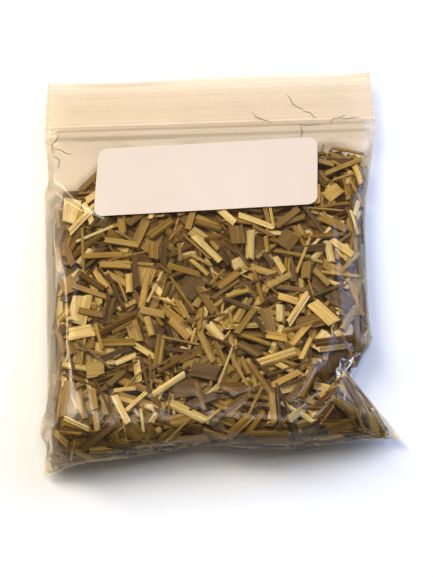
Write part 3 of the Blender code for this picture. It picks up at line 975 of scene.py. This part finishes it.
def build_film(name, sheet, normals, laid, sign):
    """A film as a mesh, with its UV in metres along the flat sheet, and its haze."""
    u, v = np.meshgrid(column_u, row_v)
    map_row = np.clip(np.rint(v / map_step).astype(int), 0, len(map_v) - 1)
    map_column = np.clip(np.rint((u - map_u[0]) / map_step).astype(int), 0, len(map_u) - 1)
    gap = softened(first_depth(laid), 9)[map_row, map_column]
    over_heap = ramp(v, 0.006, 0.012)
    slack = 1 - 0.75 * ramp(np.abs(u), 0.028, 0.038)
    sink = deepest_sink * np.clip(gap / full_gap, 0, 1) * over_heap * slack
    points = sheet + normals * (creases(u, v, sign) - sink)[..., None]
    points[:, :, 2] = np.maximum(points[:, :, 2], lowest_film)
    on_fill = softened(behind_film.astype(float), 20)[map_row, map_column]
    quads = grid_faces(*sheet.shape[:2])
    if sign < 0:
        quads = quads[:, ::-1]
    made = new_mesh_object(name, points.reshape(-1, 3).tolist(), quads.tolist())
    mesh = made.data
    set_attributes(mesh, [("haze", "FLOAT", "value", film_haze(u, v, on_fill))])
    along = mesh.uv_layers.new(name="flat_sheet")
    corner = np.empty(len(mesh.loops), np.int32)
    mesh.loops.foreach_get("vertex_index", corner)
    flat = np.stack([u.ravel()[corner], v.ravel()[corner]], axis=1)
    along.data.foreach_set("uv", flat.ravel().astype(np.float32))
    mesh.materials.append(clear_film)
    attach(made, "root")
    return made


front_film = build_film("front_film", front_sheet, front_normals, front_laid, 1)
back_film = build_film("back_film", back_sheet, back_normals, back_laid, -1)
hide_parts("front_panel")
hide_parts("back_panel")


# The fibres that cling to the film beside the zip
# A few hair-thin dark threads of the grass, held by the film's static charge.

fibre_radius = 0.00010
fibre_sides = 5
fibre_stations = 12
fibre_lift = 0.00008
fibre_kink = 0.00025
# start and end on the flat film, and how far the middle bows out
fibres = (
    (0.0240, -0.0120, 0.0290, -0.0060, 0.0006),
    (0.0290, -0.0060, 0.0330, -0.0030, -0.0003),
    (0.0130, -0.0060, 0.0190, -0.0015, 0.0005),
    (0.0270, -0.0004, 0.0350, -0.0002, 0.0006),
    (0.0365, -0.0002, 0.0420, -0.0040, -0.0006),
    (0.0400, -0.0020, 0.0460, -0.0030, 0.0004),
    (0.0280, 0.0004, 0.0282, 0.0050, 0.0002),
    (-0.0460, 0.0015, -0.0478, 0.0080, 0.0012),
    (-0.0478, 0.0055, -0.0420, 0.0085, 0.0003),
    (-0.0480, 0.0085, -0.0455, 0.0140, -0.0010),
)


def fibre_material():
    """Dark, dry leaf thread, in patches of two browns."""
    material, nodes, links, shader = new_material("dark grass fibre")
    place = nodes.new("ShaderNodeTexCoord").outputs["Object"]
    patches = add_node(nodes, "ShaderNodeTexNoise", {"Vector": place, "Scale": 900.0})
    browns = add_node(nodes, "ShaderNodeMix", {
        "Factor": patches.outputs["Fac"],
        "A": (0.020, 0.012, 0.008, 1.0), "B": (0.110, 0.070, 0.035, 1.0),
    }, data_type="RGBA")
    links.new(browns.outputs["Result"], shader.inputs["Base Color"])
    shader.inputs["Roughness"].default_value = 0.6
    return material


def build_fibres():
    """The fibres as thin tubes that cling to the front film."""
    points, faces = [], []
    share = np.linspace(0, 1, fibre_stations)
    for u0, v0, u1, v1, bow in fibres:
        off = bow * np.sin(np.pi * share) + fibre_kink * np.sin(9 * share + 900 * u0)
        length = math.hypot(u1 - u0, v1 - v0)
        u = u0 + (u1 - u0) * share - off * (v1 - v0) / length
        v = v0 + (v1 - v0) * share + off * (u1 - u0) / length
        middle = at(front_sheet, u, v) + at(front_normals, u, v) * fibre_lift
        radius = fibre_radius * (0.35 + 0.65 * np.sin(np.pi * share))
        first = len(points)
        for station in range(fibre_stations):
            ahead = middle[min(station + 1, fibre_stations - 1)] - middle[max(station - 1, 0)]
            ahead /= np.linalg.norm(ahead)
            side = np.cross(ahead, (0.0, 0.0, 1.0))
            side /= np.linalg.norm(side)
            up = np.cross(side, ahead)
            for corner in range(fibre_sides):
                turn = 2 * math.pi * corner / fibre_sides
                ring = side * math.cos(turn) + up * math.sin(turn)
                points.append((middle[station] + radius[station] * ring).tolist())
        for station in range(fibre_stations - 1):
            for corner in range(fibre_sides):
                a = first + station * fibre_sides + corner
                b = first + station * fibre_sides + (corner + 1) % fibre_sides
                faces.append((a, b, b + fibre_sides, a + fibre_sides))
        faces.append(tuple(first + corner for corner in range(fibre_sides))[::-1])
        last = first + (fibre_stations - 1) * fibre_sides
        faces.append(tuple(last + corner for corner in range(fibre_sides)))
    made = new_mesh_object("loose_fibres", points, faces)
    turned = bmesh.new()
    turned.from_mesh(made.data)
    bmesh.ops.recalc_face_normals(turned, faces=turned.faces)
    turned.to_mesh(made.data)
    turned.free()
    made.data.materials.append(fibre_material())
    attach(made, "root")


build_fibres()


# The zip's two tracks
# A groove on the front film and a rib on the back film, pressed together. They are milky
# polyethylene, extruded with the films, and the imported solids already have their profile.


def milky_material():
    """Translucent polyethylene, a little denser than the film."""
    material, nodes, links, shader = new_material("milky zip polyethylene")
    shader.inputs["Base Color"].default_value = (0.90, 0.76, 0.56, 1.0)
    shader.inputs["Roughness"].default_value = 0.3
    clear = nodes.new("ShaderNodeBsdfTransparent")
    place = nodes.new("ShaderNodeTexCoord").outputs["Object"]
    along = add_node(nodes, "ShaderNodeMapping",
                     {"Vector": place, "Scale": (30.0, 2500.0, 2500.0)})
    streaks = add_node(nodes, "ShaderNodeTexNoise", {"Vector": along.outputs[0], "Scale": 1.0})
    density = add_node(nodes, "ShaderNodeMapRange",
                       {"Value": streaks.outputs["Fac"], "To Min": 0.22, "To Max": 0.42})
    mix = add_node(nodes, "ShaderNodeMixShader", {
        "Fac": density.outputs["Result"], 1: clear.outputs[0], 2: shader.outputs[0],
    })
    links.new(mix.outputs[0], nodes["Material Output"].inputs["Surface"])
    return material


milky = milky_material()
for track in ("zip_groove_track", "zip_rib_track"):
    frame["nodes"][track].data.materials.clear()
    frame["nodes"][track].data.materials.append(milky)


# The crimps of the side welds
# The sealing bar leaves a row of short ribs across each weld, pressed into the film and as
# milky as the zip.

crimp_pitch = 0.00105
crimp_length = 0.0011
crimp_width = 0.00042
crimp_height = 0.00014
weld_inset = 0.55 * crimp_length


def crimp_shape():
    """The collection that holds one crimp, a low dome."""
    dome = bmesh.new()
    bmesh.ops.create_icosphere(dome, subdivisions=1, radius=0.5)
    mesh = bpy.data.meshes.new("crimp")
    dome.to_mesh(mesh)
    dome.free()
    mesh.shade_smooth()
    shapes = bpy.data.collections.new("crimp shapes")
    shapes.objects.link(bpy.data.objects.new("crimp", mesh))
    return shapes


def build_crimps():
    """A row of crimps down each weld, on the front film."""
    down_weld = np.arange(-lip_length + 0.001, pouch_flat - 0.002, crimp_pitch)
    u = np.repeat((-1.0, 1.0), len(down_weld)) * (film_width / 2 - weld_inset)
    v = np.tile(down_weld, 2)
    out = at(front_normals, u, v)
    along = at(front_sheet, u, v + 0.0005) - at(front_sheet, u, v - 0.0005)
    along /= np.linalg.norm(along, axis=1, keepdims=True)
    across_weld = np.cross(along, out)
    across_weld /= np.linalg.norm(across_weld, axis=1, keepdims=True)
    turns = np.stack([across_weld, np.cross(out, across_weld), out], axis=2)
    sizes = np.tile((crimp_length, crimp_width, crimp_height), (len(u), 1))
    nothing = np.zeros(len(u))
    points = at(front_sheet, u, v)
    shapes = crimp_shape()
    made = instanced("weld_crimps", points, turns, sizes, nothing, nothing, shapes, milky)
    discard(shapes)
    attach(made, "root")


build_crimps()


# The label
# A blank address label of coated white paper, cut with rounded corners. It is stuck on the
# front film just below the zip, so it follows the film's curve.

cad_label_low, cad_label_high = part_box("label")
label_width = 0.0667
label_height = 0.0254
label_corner = 0.003
label_paper = 0.00011
label_glue = 0.00004
label_turn = math.radians(1.9)
label_u = (cad_label_low[0] + cad_label_high[0]) / 2
label_v = zip_y - (cad_label_low[1] + cad_label_high[1]) / 2
label_columns = 61
corner_rows = 9
straight_rows = 18


def build_label():
    """The label's two faces and its edge, over the film and following its curve."""
    half = label_height / 2
    turns = np.radians(np.linspace(0, 90, corner_rows))
    bend = half - label_corner * (1 - np.cos(turns))
    straight = np.linspace(-half + label_corner, half - label_corner, straight_rows)[1:-1]
    heights = np.concatenate([-bend, straight, bend[::-1]])
    rows, columns = len(heights), label_columns
    u = np.empty((rows, columns))
    for row, height in enumerate(heights):
        into = max(0.0, abs(height) - (half - label_corner))
        reach = label_width / 2 - label_corner + math.sqrt(max(0.0, label_corner**2 - into**2))
        u[row] = np.linspace(-reach, reach, columns)
    h = np.repeat(heights[:, None], columns, axis=1)
    film_u = label_u + u * math.cos(label_turn) - h * math.sin(label_turn)
    film_v = label_v - (u * math.sin(label_turn) + h * math.cos(label_turn))
    base = at(front_sheet, film_u, film_v)
    out = at(front_normals, film_u, film_v)
    points, faces = [], []
    for lift in (label_glue, label_glue + label_paper):
        points += (base + out * lift).reshape(-1, 3).tolist()
    count = rows * columns
    for face in grid_faces(rows, columns).tolist():
        faces.append(face)
        faces.append([count + corner for corner in face[:1] + face[:0:-1]])
    rim = list(range(columns)) + [r * columns + columns - 1 for r in range(1, rows)]
    rim += [(rows - 1) * columns + c for c in range(columns - 2, -1, -1)]
    rim += [r * columns for r in range(rows - 2, 0, -1)]
    for a, b in zip(rim, rim[1:] + rim[:1]):
        faces.append((a, b, count + b, count + a))
    made = new_mesh_object("paper_label", points, faces)
    made.data.set_sharp_from_angle(angle=math.radians(40))
    return made


def label_material():
    """Coated white paper with a faint fibre and a warm cast."""
    material, nodes, links, shader = new_material("label paper")
    place = nodes.new("ShaderNodeTexCoord").outputs["Object"]
    fibre = add_node(nodes, "ShaderNodeTexNoise",
                     {"Vector": place, "Scale": 2600.0, "Detail": 4.0})
    cloud = add_node(nodes, "ShaderNodeTexNoise", {"Vector": place, "Scale": 45.0})
    tint = add_node(nodes, "ShaderNodeMix", {
        "Factor": cloud.outputs["Fac"],
        "A": (0.67, 0.56, 0.455, 1.0), "B": (0.76, 0.64, 0.525, 1.0),
    }, data_type="RGBA")
    bump = add_node(nodes, "ShaderNodeBump",
                    {"Height": fibre.outputs["Fac"], "Strength": 0.15, "Distance": 0.00003})
    links.new(tint.outputs["Result"], shader.inputs["Base Color"])
    links.new(bump.outputs["Normal"], shader.inputs["Normal"])
    shader.inputs["Roughness"].default_value = 0.48
    return material


paper_label = build_label()
paper_label.data.materials.append(label_material())
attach(paper_label, "root")
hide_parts("label")
